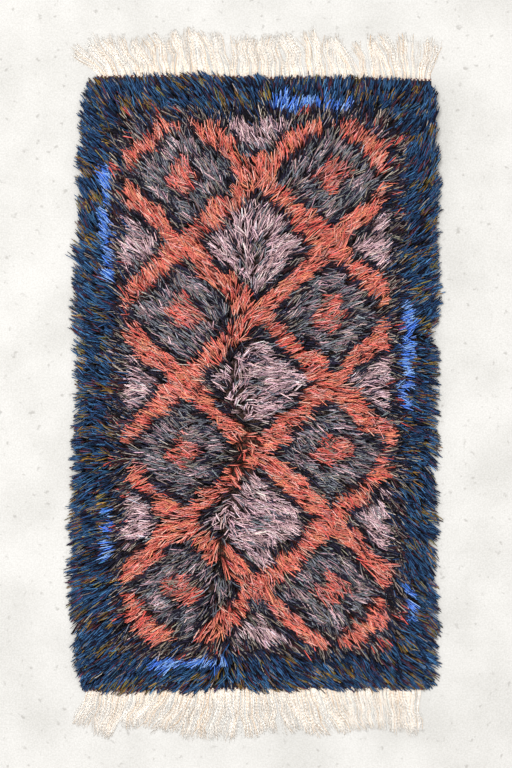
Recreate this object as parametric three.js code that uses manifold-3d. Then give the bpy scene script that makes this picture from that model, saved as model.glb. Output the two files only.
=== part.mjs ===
// A small rya rug, lying flat: a woven ground, a deep knotted wool pile over it, and the warp ends as a
// fringe at each end. Millimetres, +Z up. The rug's length runs along Y, and the origin is on its flat
// underside, below the middle of the ground.
import * as THREE from "three";
import { mergeVertices } from "three/addons/utils/BufferGeometryUtils.js";
import Module from "manifold-3d";

const wasm = await Module();
wasm.setup();

// Driving dimensions of the cloth
const GROUND_LENGTH = 1206;
const GROUND_THICKNESS = 3;
const CLEARANCE = 0.3;
const END_BOW = { sag: 3, width: 140, phase: 0.6 };
const SIDE_STEPS = 24;
const END_STEPS = 12;

// The selvedges wander a little: where they lie at each height along the rug
const SELVEDGES = [
  { y: -603, left: -340, right: 326 },
  { y: -420, left: -340, right: 332 },
  { y: -160, left: -342, right: 333 },
  { y: 0, left: -336, right: 334 },
  { y: 180, left: -336, right: 338 },
  { y: 420, left: -332, right: 343 },
  { y: 540, left: -326, right: 344 },
  { y: 603, left: -315, right: 342 },
];

// Pile: a lumpy slab of leaning tufts
const PILE_HEIGHT = 27;
const PILE_LUMP = 12;
const PILE_UNEVENNESS = 7;
const PILE_SIDE_OVERHANG = 13;
const PILE_FAR_INSET = 2;
const PILE_NEAR_OVERHANG = 6;
const PILE_COLUMNS = 34;
const PILE_ROWS = 58;
const TUFT_LEAN = 0.4;
const TUFT_STRAY = 0.16;
const SHALLOWEST_PARTING = 0.5;
const SHORTEST_LEAN = 0.6;
const RIM_HEIGHT = 9;
const RIM_UNEVENNESS = 2;
const RIM_UNDERCUT = 5;
const RIM_WANDER = { reach: 5, long: 47, short: 19 };

// Just inside the rim the tufts are lower, and the partings between them are shallower
const SHOULDER = { height: 18, unevenness: 3.5, lump: 4.8 };

// The pile is brushed outward: how much its way follows y rather than x, how far it parts at the middle,
// and the two slow swirls that turn it, in radians
const BRUSHED = { alongRug: 0.45, parting: 20 };
const SWIRLS = [
  { turn: 0.21, acrossWave: 95, alongWave: 130 },
  { turn: 0.15, acrossWave: -170, alongWave: 60 },
];

// The pile parts in a short notch on one long side
const NOTCH = { y: 98, depth: 8, halfWidth: 22 };

// Loose locks that stand out from the pile's rim, each a little astray from its even place and way
const LOCK_ROOT_WIDTH = 19;
const LOCK_TIP_WIDTH = 2.5;
const LOCK_ROOT_HEIGHT = 7;
const LOCK_TIP_HEIGHT = 2.4;
const LOCK_ROOT_INSET = 13;
const LOCK_ROOT_Z = 8;
const LOCK_LIFT = 2;
const LOCK_TIP_Z = 6;
const LOCK_SEAT = 3;
const LOCK_STRAY = 0.4;
const LOCK_TURN_STRAY = 0.3;
const LOCK_FAN = { alongSide: 0.8, alongEnd: 0.85 };
const SIDE_LOCKS = { count: 56, shortest: 10, longest: 24, nearInset: 12, farInset: 22, inNotch: 0.35 };
const FAR_LOCKS = { side: 1, count: 10, shortest: 2, longest: 5, inset: 12, seed: 20 };
const NEAR_LOCKS = { side: -1, count: 22, shortest: 4, longest: 12, inset: 12, seed: 21 };

// Warp fringe: wavy strands that lie on the floor, rooted in a narrow woven strip
const STRIP_WIDTH = 8;
const STRAND_ROOT_LAP = 2;
const STRANDS = 78;
const STRAND_STEPS = 4;
const STRAND_ROOT_WIDTH = 3.4;
const STRAND_TIP_WIDTH = 2.2;
const STRAND_ROOT_HEIGHT = 2.7;
const STRAND_TIP_HEIGHT = 1.8;
const STRAND_END_INSET = 5;
const STRAND_LENGTHS = { slow: 0.6, stray: 0.4 };
const CLUMP = { width: 71, pull: 5.5 };
const WAVE = { width: 190, length: 0.8, reach: 5 };
const FAR_FRINGE = { side: 1, length: 76, unevenness: 9, leanLeft: -34, leanRight: 22, seed: 11 };
const NEAR_FRINGE = { side: -1, length: 84, unevenness: 11, leanLeft: -20, leanRight: 6, seed: 23 };

const WOOL_NAVY = new THREE.MeshStandardMaterial({ color: 0x1d2c47, roughness: 0.85, metalness: 0 });
const WEFT_MAROON = new THREE.MeshStandardMaterial({ color: 0x5b3430, roughness: 0.9, metalness: 0 });
const WARP_CREAM = new THREE.MeshStandardMaterial({ color: 0xe6dcc8, roughness: 0.9, metalness: 0 });

const lerp = THREE.MathUtils.lerp;
const clamp = THREE.MathUtils.clamp;

// A steady pseudo-random number from 0 to 1 for each pair of counters.
function scatter(a, b = 0) {
  const s = Math.sin(a * 127.1 + b * 311.7) * 43758.5453;
  return s - Math.floor(s);
}

// Where a selvedge lies at y: straight between the rows of the table, eased at each row.
function selvedge(y, side) {
  const inside = clamp(y, SELVEDGES[0].y, SELVEDGES[SELVEDGES.length - 1].y);
  const above = Math.max(1, SELVEDGES.findIndex((row) => row.y >= inside));
  const [low, high] = [SELVEDGES[above - 1], SELVEDGES[above]];
  const share = (inside - low.y) / (high.y - low.y);
  return lerp(low[side], high[side], THREE.MathUtils.smoothstep(share, 0, 1));
}

// How far the woven end bows away from a straight line at x.
function endBow(x) {
  return END_BOW.sag * Math.sin(x / END_BOW.width + END_BOW.phase);
}

// The y of the ground's end at x; side is 1 at the far end and -1 at the near end.
function groundEnd(x, side) {
  return side * (GROUND_LENGTH / 2) + endBow(x);
}

// The way that the pile lies: brushed outward from the rug's middle, towards the nearer edge.
function pileLie(x, y) {
  const turns = SWIRLS.map((swirl) => swirl.turn * Math.sin(x / swirl.acrossWave + y / swirl.alongWave));
  const lie = new THREE.Vector2(x, BRUSHED.alongRug * y + Math.sign(y || 1) * BRUSHED.parting);
  return lie.normalize().rotateAround(new THREE.Vector2(0, 0), turns[0] + turns[1]);
}

// A closed geometry as a manifold solid.
function toSolid(geometry) {
  const bare = geometry.index ? geometry.toNonIndexed() : geometry.clone();
  bare.deleteAttribute("normal");
  bare.deleteAttribute("uv");
  const merged = mergeVertices(bare, 1e-4);
  return new wasm.Manifold(
    new wasm.Mesh({
      numProp: 3,
      vertProperties: new Float32Array(merged.attributes.position.array),
      triVerts: new Uint32Array(merged.index.array),
    }),
  );
}

// A manifold solid as a geometry.
function toGeometry(solid) {
  const mesh = solid.getMesh();
  return new THREE.BufferGeometry()
    .setAttribute("position", new THREE.BufferAttribute(new Float32Array(mesh.vertProperties), 3))
    .setIndex(new THREE.BufferAttribute(new Uint32Array(mesh.triVerts), 1));
}

// A closed skin from points and triangles of their counters.
function skin(points, triangles) {
  return new THREE.BufferGeometry().setFromPoints(points).setIndex(triangles);
}

// Joins a backing and everything rooted in it into one solid. Only its outer shell is kept, so a pocket
// that is shut in between two roots is filled.
function fuse(backing, rooted) {
  const joined = wasm.Manifold.union([backing, ...rooted].map(toSolid));
  const shells = joined.decompose().sort((a, b) => b.volume() - a.volume());
  return toGeometry(shells[0]);
}

// A strand carried along its centre line. section(t) gives the corners of its cross-section at share t,
// as { across, up } offsets, where across is to the right of the way it runs. They run from the right
// over the top to the left.
function strand(route, section) {
  const corners = section(0).length;
  const points = [];
  const triangles = [];
  route.forEach((centre, step) => {
    const ahead = route[Math.min(step + 1, route.length - 1)];
    const behind = route[Math.max(step - 1, 0)];
    const along = new THREE.Vector3().subVectors(ahead, behind).setZ(0).normalize();
    const across = new THREE.Vector3(along.y, -along.x, 0);
    for (const corner of section(step / (route.length - 1))) {
      const up = new THREE.Vector3(0, 0, corner.up);
      points.push(centre.clone().addScaledVector(across, corner.across).add(up));
    }
  });
  for (let step = 0; step + 1 < route.length; step++) {
    for (let k = 0; k < corners; k++) {
      const [a, b] = [step * corners + k, step * corners + ((k + 1) % corners)];
      triangles.push(a, b + corners, b, a, a + corners, b + corners);
    }
  }
  const tip = (route.length - 1) * corners;
  for (let k = 1; k + 1 < corners; k++) {
    triangles.push(0, k, k + 1);
    triangles.push(tip, tip + k + 1, tip + k);
  }
  return skin(points, triangles);
}

// The woven ground: one thin sheet with the wandering selvedges and the bowed ends.
function groundWeave() {
  const along = (step) => lerp(-GROUND_LENGTH / 2, GROUND_LENGTH / 2, step / SIDE_STEPS);
  const side = (name) => {
    const inner = Array.from({ length: SIDE_STEPS - 1 }, (_, k) => along(k + 1));
    return inner.map((y) => new THREE.Vector2(selvedge(y, name), y));
  };
  const end = (out) => {
    const y = out * (GROUND_LENGTH / 2);
    const [left, right] = [selvedge(y, "left"), selvedge(y, "right")];
    const places = Array.from({ length: END_STEPS + 1 }, (_, k) => lerp(left, right, k / END_STEPS));
    return places.map((x) => new THREE.Vector2(x, groundEnd(x, out)));
  };
  const nearAndRight = [...end(-1), ...side("right")];
  const farAndLeft = [...end(1).reverse(), ...side("left").reverse()];
  const outline = new THREE.Shape([...nearAndRight, ...farAndLeft]);
  const sheet = new THREE.ExtrudeGeometry(outline, {
    depth: GROUND_THICKNESS,
    bevelEnabled: false,
    curveSegments: 1,
  });
  return toGeometry(toSolid(sheet));
}

// The pile's rim on one long side at y, before its loose locks.
function pileSide(y, side) {
  const out = side === "left" ? -1 : 1;
  const parted = side === "right" ? clamp(1 - Math.abs(y - NOTCH.y) / NOTCH.halfWidth, 0, 1) : 0;
  const wander = RIM_WANDER.reach * Math.sin(y / RIM_WANDER.long + out) * Math.sin(y / RIM_WANDER.short);
  return selvedge(y, side) + out * (PILE_SIDE_OVERHANG + wander - NOTCH.depth * parted);
}

// The pile's rim at one end at x.
function pileEnd(x, side) {
  const reach = side > 0 ? -PILE_FAR_INSET : PILE_NEAR_OVERHANG;
  return groundEnd(x, side) + side * reach;
}

// The point of the pile slab's grid at a column and row, in plan.
function pilePlan(column, row) {
  const share = row / PILE_ROWS;
  const straightY = lerp(-GROUND_LENGTH / 2, GROUND_LENGTH / 2, share);
  const x = lerp(pileSide(straightY, "left"), pileSide(straightY, "right"), column / PILE_COLUMNS);
  const y = lerp(pileEnd(x, -1), pileEnd(x, 1), share);
  return new THREE.Vector3(x, y, 0);
}

// A point of the pile's top: tufts stand at every other point of the grid and lean with the pile's lie,
// the points between them are the partings, all a little astray, and the slab rounds down at its rim.
function pileTop(column, row) {
  const point = pilePlan(column, row);
  const ring = Math.min(column, PILE_COLUMNS - column, row, PILE_ROWS - row);
  const mottle = scatter(column, row);
  if (ring === 0) return point.setZ(RIM_HEIGHT - RIM_UNEVENNESS * mottle);
  const cell = (pileSide(0, "right") - pileSide(0, "left")) / PILE_COLUMNS;
  const turn = 2 * Math.PI * scatter(row, column);
  point.x += cell * TUFT_STRAY * Math.cos(turn);
  point.y += cell * TUFT_STRAY * Math.sin(turn);
  const zone = ring === 1 ? SHOULDER : { height: PILE_HEIGHT, unevenness: PILE_UNEVENNESS, lump: PILE_LUMP };
  point.z = zone.height - zone.unevenness * mottle;
  const isTuft = (column + row) % 2 === 0;
  if (!isTuft) return point.setZ(point.z - zone.lump * lerp(SHALLOWEST_PARTING, 1, mottle));
  const lean = pileLie(point.x, point.y).multiplyScalar(cell * TUFT_LEAN * lerp(1, SHORTEST_LEAN, mottle));
  return new THREE.Vector3(point.x + lean.x, point.y + lean.y, point.z);
}

// The counters of the grid's rim, anticlockwise seen from above.
function rimLoop(index) {
  const loop = [];
  for (let column = 0; column < PILE_COLUMNS; column++) loop.push(index(column, 0));
  for (let row = 0; row < PILE_ROWS; row++) loop.push(index(PILE_COLUMNS, row));
  for (let column = PILE_COLUMNS; column > 0; column--) loop.push(index(column, PILE_ROWS));
  for (let row = PILE_ROWS; row > 0; row--) loop.push(index(0, row));
  return loop;
}

// The pile without its loose locks: the lumpy top, an undercut wall and a flat sole on the ground.
function pileSlab() {
  const points = [];
  const triangles = [];
  const index = (column, row) => row * (PILE_COLUMNS + 1) + column;
  for (let row = 0; row <= PILE_ROWS; row++) {
    for (let column = 0; column <= PILE_COLUMNS; column++) points.push(pileTop(column, row));
  }
  for (let row = 0; row < PILE_ROWS; row++) {
    for (let column = 0; column < PILE_COLUMNS; column++) {
      const [a, b] = [index(column, row), index(column + 1, row)];
      const [c, d] = [index(column + 1, row + 1), index(column, row + 1)];
      // The quad's diagonal joins its two partings, so each tuft is a peak.
      if ((column + row) % 2 === 0) triangles.push(a, b, d, b, c, d);
      else triangles.push(a, b, c, a, c, d);
    }
  }
  const rim = rimLoop(index);
  const sole = rim.map((counter) => {
    const edge = points[counter];
    const inward = new THREE.Vector2(edge.x, edge.y).normalize().multiplyScalar(RIM_UNDERCUT);
    return new THREE.Vector2(edge.x - inward.x, edge.y - inward.y);
  });
  const first = points.length;
  sole.forEach((place) => points.push(new THREE.Vector3(place.x, place.y, GROUND_THICKNESS + CLEARANCE)));
  rim.forEach((counter, k) => {
    const next = (k + 1) % rim.length;
    triangles.push(first + k, first + next, rim[next], first + k, rim[next], counter);
  });
  for (const [a, b, c] of THREE.ShapeUtils.triangulateShape(sole, [])) {
    triangles.push(first + a, first + c, first + b);
  }
  return skin(points, triangles);
}

// One loose lock from a point on the rim, lying along the pile and tapering to its tip.
function rimLock(x, y, heading, reach) {
  const rootZ = LOCK_ROOT_Z + LOCK_LIFT * scatter(x, y);
  const root = new THREE.Vector3(x - heading.x * LOCK_ROOT_INSET, y - heading.y * LOCK_ROOT_INSET, rootZ);
  const middle = new THREE.Vector3(x, y, lerp(rootZ, LOCK_TIP_Z, 0.4));
  const tip = new THREE.Vector3(x + heading.x * reach, y + heading.y * reach, LOCK_TIP_Z);
  return strand([root, middle, tip], (t) => {
    const half = lerp(LOCK_ROOT_WIDTH, LOCK_TIP_WIDTH, t) / 2;
    const rise = lerp(LOCK_ROOT_HEIGHT, LOCK_TIP_HEIGHT, t) / 2;
    return [
      { across: half, up: 0 },
      { across: 0, up: rise },
      { across: -half, up: 0 },
      { across: 0, up: -rise },
    ];
  });
}

// How far lock k of a row of locks stands along it, from 0 to 1.
function lockPlace(k, count, seed) {
  return (k + 0.5 + LOCK_STRAY * (scatter(k, seed) - 0.5)) / count;
}

// How far lock k turns aside, and how far it reaches.
function lockTurn(k, seed) {
  return LOCK_TURN_STRAY * (scatter(k, seed + 5) - 0.5);
}

function lockReach(k, row, seed) {
  return lerp(row.shortest, row.longest, scatter(k, seed + 9));
}

// The loose locks along one long side, short where the pile parts.
function sideLocks(side, seed) {
  const out = side === "left" ? -1 : 1;
  const locks = [];
  const nearest = -GROUND_LENGTH / 2 + SIDE_LOCKS.nearInset;
  const farthest = GROUND_LENGTH / 2 - SIDE_LOCKS.farInset;
  for (let k = 0; k < SIDE_LOCKS.count; k++) {
    const y = lerp(nearest, farthest, lockPlace(k, SIDE_LOCKS.count, seed));
    const inNotch = side === "right" && Math.abs(y - NOTCH.y) < NOTCH.halfWidth;
    const fan = (LOCK_FAN.alongSide * y) / GROUND_LENGTH + lockTurn(k, seed);
    const heading = new THREE.Vector2(out, fan).normalize();
    const reach = lockReach(k, SIDE_LOCKS, seed) * (inNotch ? SIDE_LOCKS.inNotch : 1);
    locks.push(rimLock(pileSide(y, side) - out * LOCK_SEAT, y, heading, reach));
  }
  return locks;
}

// The loose locks along one end, which hang over the roots of the fringe.
function endLocks(row) {
  const atEnd = row.side * (GROUND_LENGTH / 2);
  const [left, right] = [selvedge(atEnd, "left") + row.inset, selvedge(atEnd, "right") - row.inset];
  const locks = [];
  for (let k = 0; k < row.count; k++) {
    const x = lerp(left, right, lockPlace(k, row.count, row.seed));
    const fan = (LOCK_FAN.alongEnd * x) / (GROUND_LENGTH / 2) + lockTurn(k, row.seed);
    const heading = new THREE.Vector2(fan, row.side).normalize();
    const y = pileEnd(x, row.side) - row.side * LOCK_SEAT;
    locks.push(rimLock(x, y, heading, lockReach(k, row, row.seed)));
  }
  return locks;
}

// The narrow woven strip at one end, which holds the warp ends.
function warpStrip(fringe) {
  const atEnd = fringe.side * (GROUND_LENGTH / 2);
  const [left, right] = [selvedge(atEnd, "left"), selvedge(atEnd, "right")];
  const inner = [];
  const outer = [];
  for (let step = 0; step <= END_STEPS; step++) {
    const x = lerp(left, right, step / END_STEPS);
    const edge = groundEnd(x, fringe.side);
    inner.push(new THREE.Vector2(x, edge + fringe.side * CLEARANCE));
    outer.push(new THREE.Vector2(x, edge + fringe.side * (CLEARANCE + STRIP_WIDTH)));
  }
  const outline = new THREE.Shape([...inner, ...outer.reverse()]);
  return new THREE.ExtrudeGeometry(outline, {
    depth: GROUND_THICKNESS,
    bevelEnabled: false,
    curveSegments: 1,
  });
}

// One warp end, flat on the floor. Neighbours share the same slow waves, so that none touches another.
function warpEnd(fringe, k) {
  const atEnd = fringe.side * (GROUND_LENGTH / 2);
  const left = selvedge(atEnd, "left") + STRAND_END_INSET;
  const right = selvedge(atEnd, "right") - STRAND_END_INSET;
  const share = k / (STRANDS - 1);
  const x = lerp(left, right, share);
  const lean = fringe.leanLeft * (1 - share) ** 3 + fringe.leanRight * share ** 3;
  const slowWave = Math.sin((x / WAVE.width) * 2 * Math.PI + fringe.seed);
  const clump = CLUMP.pull * Math.sin((x / CLUMP.width) * 2 * Math.PI + fringe.seed);
  const stray = 2 * scatter(k, fringe.seed) - 1;
  const uneven = STRAND_LENGTHS.slow * slowWave + STRAND_LENGTHS.stray * stray;
  const length = fringe.length + fringe.unevenness * uneven;
  const root = groundEnd(x, fringe.side) + fringe.side * (CLEARANCE + STRIP_WIDTH - STRAND_ROOT_LAP);
  const route = [];
  for (let step = 0; step <= STRAND_STEPS; step++) {
    const t = step / STRAND_STEPS;
    const wave = WAVE.reach * Math.sin(t * 2 * Math.PI * WAVE.length + slowWave) * t;
    route.push(new THREE.Vector3(x + lean * t + clump * t * t + wave, root + fringe.side * length * t, 0));
  }
  return strand(route, (t) => {
    const half = lerp(STRAND_ROOT_WIDTH, STRAND_TIP_WIDTH, t) / 2;
    const rise = lerp(STRAND_ROOT_HEIGHT, STRAND_TIP_HEIGHT, t);
    return [
      { across: half, up: 0 },
      { across: 0, up: rise },
      { across: -half, up: 0 },
    ];
  });
}

// The fringe at one end: its strip and all its warp ends in one solid.
function warpFringe(fringe) {
  const ends = Array.from({ length: STRANDS }, (_, k) => warpEnd(fringe, k));
  return fuse(warpStrip(fringe), ends);
}

function piece(name, geometry, material) {
  const mesh = new THREE.Mesh(geometry, material);
  mesh.name = name;
  return mesh;
}

const rug = new THREE.Group();
rug.add(piece("ground_weave", groundWeave(), WEFT_MAROON));
const rimLocks = [sideLocks("left", 0), sideLocks("right", 1), endLocks(FAR_LOCKS), endLocks(NEAR_LOCKS)];
rug.add(piece("pile", fuse(pileSlab(), rimLocks.flat()), WOOL_NAVY));
rug.add(piece("fringe_far_end", warpFringe(FAR_FRINGE), WARP_CREAM));
rug.add(piece("fringe_near_end", warpFringe(NEAR_FRINGE), WARP_CREAM));

export default rug;
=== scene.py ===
"""A small rya rug lying flat: a woven ground, a deep pile of loose wool yarns knotted in a lattice of
lozenges inside a dark border, and the warp ends as a fringe at each end.

Lengths are metres, the rug's length runs along Y, and +Z is up from its flat underside. Colours are
named by their sRGB values and go into the materials as linear ones.
"""

import logging
import math
from dataclasses import dataclass
from enum import Enum

import bpy
import numpy as np
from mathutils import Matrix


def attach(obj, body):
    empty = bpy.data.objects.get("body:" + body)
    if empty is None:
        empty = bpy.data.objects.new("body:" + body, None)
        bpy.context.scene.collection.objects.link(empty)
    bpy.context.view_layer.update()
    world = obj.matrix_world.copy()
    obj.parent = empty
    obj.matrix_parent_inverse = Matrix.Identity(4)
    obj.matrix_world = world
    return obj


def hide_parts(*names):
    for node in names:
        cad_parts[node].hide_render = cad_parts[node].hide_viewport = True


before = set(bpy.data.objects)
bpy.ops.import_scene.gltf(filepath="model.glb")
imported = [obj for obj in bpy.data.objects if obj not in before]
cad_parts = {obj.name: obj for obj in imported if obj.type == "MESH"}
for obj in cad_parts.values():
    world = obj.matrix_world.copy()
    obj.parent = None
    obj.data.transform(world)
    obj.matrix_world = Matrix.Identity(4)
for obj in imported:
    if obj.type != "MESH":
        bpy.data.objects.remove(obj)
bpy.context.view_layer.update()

Array = np.ndarray
Colour = tuple[float, float, float]
Course = tuple[tuple[float, ...], tuple[float, ...]]

PHOTO_PIXEL = 0.001966
PHOTO_HEIGHT = 768
PHOTO_MIDDLE = (-0.002, -0.002)
BAKE_MAP = "OFBake"
YARN_MAP = "yarn"
YARN_COLOUR = "yarn_colour"
STRIP_SHARE = "strip_share"
TURN = 2.0 * math.pi
WARP_PITCH = 0.0074
WOOL_SPECULAR = 0.1
SHEEN_ROUGHNESS = 0.5

log = logging.getLogger("rya_rug")


def linear(colour: Colour) -> Colour:
    """The linear value of an sRGB colour: the usual curve, a power of 2.4 above a short straight foot."""
    return tuple(c / 12.92 if c <= 0.04045 else ((c + 0.055) / 1.055) ** 2.4 for c in colour)


def ease(low: float, high: float, x: Array) -> Array:
    """An S-curve from 0 at low to 1 at high: 3 t squared minus 2 t cubed, with t the share of the way."""
    t = np.clip((x - low) / (high - low), 0.0, 1.0)
    return t * t * (3.0 - 2.0 * t)


def ripple(x: Array, y: Array, size: float, seed: int) -> Array:
    """Smooth noise over the plan, from -1 to 1.

    The mean of seven sine waves in seeded ways, with lengths from 0.7 to 1.6 times the size, stretched
    so that it fills its range.

    Args:
        x: Places across the rug.
        y: Places along the rug.
        size: About how long one swell is.
        seed: Which noise.

    Returns:
        The noise at each place.
    """
    rng = np.random.default_rng(seed)
    waves, stretch = 7, 1.9
    total = np.zeros_like(x)
    for _ in range(waves):
        way, phase = rng.uniform(0.0, TURN, 2)
        length = size * rng.uniform(0.7, 1.6)
        total += np.sin(TURN * (x * math.cos(way) + y * math.sin(way)) / length + phase)
    return np.clip(total * stretch / waves, -1.0, 1.0)


def unit(vectors: Array) -> Array:
    """Each vector divided by its length."""
    return vectors / np.maximum(np.linalg.norm(vectors, axis=-1, keepdims=True), 1e-9)


def spaced(values: tuple[float, ...], share: Array) -> Array:
    """Values given at even steps from 0 to 1, read between them at the shares."""
    return np.interp(share, np.linspace(0.0, 1.0, len(values)), values)


class Wire:
    """A node's output, with arithmetic that adds Math nodes."""

    def __init__(self, shader: "Shader", socket: bpy.types.NodeSocket) -> None:
        """Wraps one output socket of a shader's node."""
        self.shader = shader
        self.socket = socket

    def maths(self, operation: str, *values: "Wire | float") -> "Wire":
        """A Math node of that operation on these values."""
        return self.shader.node("ShaderNodeMath", {"operation": operation}, dict(enumerate(values)))

    def __add__(self, other: "Wire | float") -> "Wire":
        """self + other."""
        return self.maths("ADD", self, other)

    def __sub__(self, other: "Wire | float") -> "Wire":
        """self - other."""
        return self.maths("SUBTRACT", self, other)

    def __rsub__(self, other: float) -> "Wire":
        """other - self."""
        return self.maths("SUBTRACT", other, self)

    def __mul__(self, other: "Wire | float") -> "Wire":
        """self * other."""
        return self.maths("MULTIPLY", self, other)

    def __truediv__(self, other: "Wire | float") -> "Wire":
        """self / other."""
        return self.maths("DIVIDE", self, other)

    __radd__ = __add__
    __rmul__ = __mul__

    def sine(self) -> "Wire":
        """The sine of self, in radians."""
        return self.maths("SINE", self)

    def wave(self) -> "Wire":
        """A wave from 0 to 1: half the sine of self, and a half."""
        return self.sine() * 0.5 + 0.5

    def size(self) -> "Wire":
        """self without its sign."""
        return self.maths("ABSOLUTE", self)

    def nearest(self) -> "Wire":
        """self rounded to a whole number."""
        return self.maths("ROUND", self)

    def larger(self, other: "Wire | float") -> "Wire":
        """The larger of self and other."""
        return self.maths("MAXIMUM", self, other)

    def step(self, low: float, high: float) -> "Wire":
        """An S-curve from 0 where self is low to 1 where it is high."""
        sockets = {"Value": self, "From Min": low, "From Max": high}
        return self.shader.node("ShaderNodeMapRange", {"interpolation_type": "SMOOTHSTEP"}, sockets)


class Shader:
    """One material's nodes, each added by one method."""

    def __init__(self, name: str) -> None:
        """Makes a new material with its Principled shader.

        Args:
            name: The material's name.
        """
        self.material = bpy.data.materials.new(name)
        self.material.use_nodes = True
        self.tree = self.material.node_tree
        self.surface = self.tree.nodes["Principled BSDF"]

    def plug(self, socket: bpy.types.NodeSocket, value: "Wire | float | Colour") -> None:
        """Links a wire to a socket, or sets its number or colour.

        Args:
            socket: The input.
            value: What it gets.
        """
        if isinstance(value, Wire):
            self.tree.links.new(value.socket, socket)
        elif socket.type == "RGBA":
            socket.default_value = (*value, 1.0)
        else:
            socket.default_value = value

    def node(
        self, kind: str, settings: dict | None = None, sockets: dict | None = None, output: int | str = 0
    ) -> Wire:
        """Adds a node.

        Args:
            kind: The node's type.
            settings: What is set on the node itself, before its sockets.
            sockets: Values or wires for its inputs, by name or number.
            output: Which output is wanted.

        Returns:
            The wire of that output.
        """
        made = self.tree.nodes.new(kind)
        for key, value in (settings or {}).items():
            setattr(made, key, value)
        for key, value in (sockets or {}).items():
            self.plug(made.inputs[key], value)
        return Wire(self, made.outputs[output])

    def place(self) -> tuple[Wire, Wire, Wire]:
        """The place in the object's own frame, as three wires."""
        return self.parts(self.node("ShaderNodeTexCoord", output="Object"))

    def parts(self, vector: Wire) -> tuple[Wire, Wire, Wire]:
        """The three numbers of a vector."""
        split = self.node("ShaderNodeSeparateXYZ", sockets={0: vector}).socket.node
        return tuple(Wire(self, out) for out in split.outputs)

    def noise(self, scale: float, detail: float = 2.0, vector: Wire | None = None) -> Wire:
        """Blender's noise at so many swells a metre, from 0 to 1, on the object's place unless told."""
        where = vector or self.node("ShaderNodeTexCoord", output="Object")
        return self.node("ShaderNodeTexNoise", sockets={"Vector": where, "Scale": scale, "Detail": detail})

    def mix(self, share: Wire | float, a: Wire | Colour, b: Wire | Colour, blend: str = "MIX") -> Wire:
        """Two colours mixed by a share, or blended in the named way."""
        sockets = {0: share, 6: a, 7: b}
        return self.node("ShaderNodeMix", {"data_type": "RGBA", "blend_type": blend}, sockets, output=2)

    def shaded(self, colour: Wire, shade: Wire) -> Wire:
        """A colour times a number, which goes into the product as a grey."""
        grey = self.node("ShaderNodeCombineColor", sockets={0: shade, 1: shade, 2: shade})
        return self.mix(1.0, colour, grey, "MULTIPLY")

    def finish(
        self, colour: Wire, roughness: Wire | float, height: Wire, depth: float, sheen: float = 0.0
    ) -> bpy.types.Material:
        """Wires the surface.

        Args:
            colour: The base colour.
            roughness: The roughness.
            height: The relief, from 0 to 1.
            depth: How deep the relief is.
            sheen: How strong the fuzz's sheen is.

        Returns:
            The material.
        """
        bump = self.node("ShaderNodeBump", sockets={"Strength": 1.0, "Distance": depth, "Height": height})
        self.plug(self.surface.inputs["Base Color"], colour)
        self.plug(self.surface.inputs["Roughness"], roughness)
        self.plug(self.surface.inputs["Normal"], bump)
        self.surface.inputs["Specular IOR Level"].default_value = WOOL_SPECULAR
        self.surface.inputs["Sheen Weight"].default_value = sheen
        self.surface.inputs["Sheen Roughness"].default_value = SHEEN_ROUGHNESS
        return self.material


@dataclass(frozen=True)
class SpunYarn:
    """The finish of loose spun yarn: each yarn's own colour, its plies winding round it, and fuzz.

    Painted shade darkens a yarn: by the ply shade between its plies, to the root shade at its root, and to
    the side shade on its sides away from its lit top, as if lit from above. By depth its colour also grows
    darker and more saturated in that painted shade, as between the yarns of a pile.
    """

    name: str
    turns: float
    plies: int
    painted_ply_shade: float
    painted_root_shade: float
    depth: float
    painted_flank_shade: float
    sheen: float
    roughness: float = 0.8
    fibre_gloss: float = 0.1
    ply_depth: float = 0.0005
    fibre_scale: float = 900.0
    swell_scale: float = 45.0
    painted_lit_top_rise: tuple[float, float] = (0.25, 0.9)
    root_share: float = 0.42

    def material(self) -> bpy.types.Material:
        """Builds the material.

        The yarn map's first number runs round the yarn and its second along it, so a ply is a sine of
        both, and the colour attribute's alpha starts each yarn's plies at another turn.

        Returns:
            The material.
        """
        shader = Shader(self.name)
        own = shader.node("ShaderNodeAttribute", {"attribute_name": YARN_COLOUR}, output="Color")
        start = Wire(shader, own.socket.node.outputs["Alpha"])
        around, along, _ = shader.parts(shader.node("ShaderNodeUVMap", {"uv_map": YARN_MAP}, output="UV"))
        wind = ((around * self.plies + along * self.turns + start) * TURN).wave()
        fibres = shader.noise(self.fibre_scale, 3.0)
        swell = shader.noise(self.swell_scale)
        # Painted light and shade: the top of each yarn's section is lit and its lower sides shaded, as if lit
        # from above.
        painted_lit_top = ((around + start) * TURN).wave().step(*self.painted_lit_top_rise)
        # Painted shade along the yarn: dark at its root, fully lit from a share of its length on.
        lit = along.step(0.0, self.root_share)
        # Painted shade in the grooves between the plies.
        shade = (1.0 - self.painted_ply_shade) + wind * self.painted_ply_shade
        shade = shade * (0.88 + 0.28 * fibres) * (0.92 + 0.2 * swell)
        # Painted shade at the root.
        shade = shade * (self.painted_root_shade + (1.0 - self.painted_root_shade) * lit)
        # Painted shade on the sides away from the lit top.
        shade = shade * (self.painted_flank_shade + (1.0 - self.painted_flank_shade) * painted_lit_top)
        # Painted shade also darkens and saturates the colour, the colour times itself, where the yarn is
        # shaded.
        painted_shade_colour = shader.mix(self.depth, own, own, "MULTIPLY")
        colour = shader.shaded(shader.mix(lit * painted_lit_top, painted_shade_colour, own), shade)
        roughness = self.roughness - self.fibre_gloss * fibres
        return shader.finish(colour, roughness, wind * 0.8 + fibres * 0.2, self.ply_depth, self.sheen)


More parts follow.
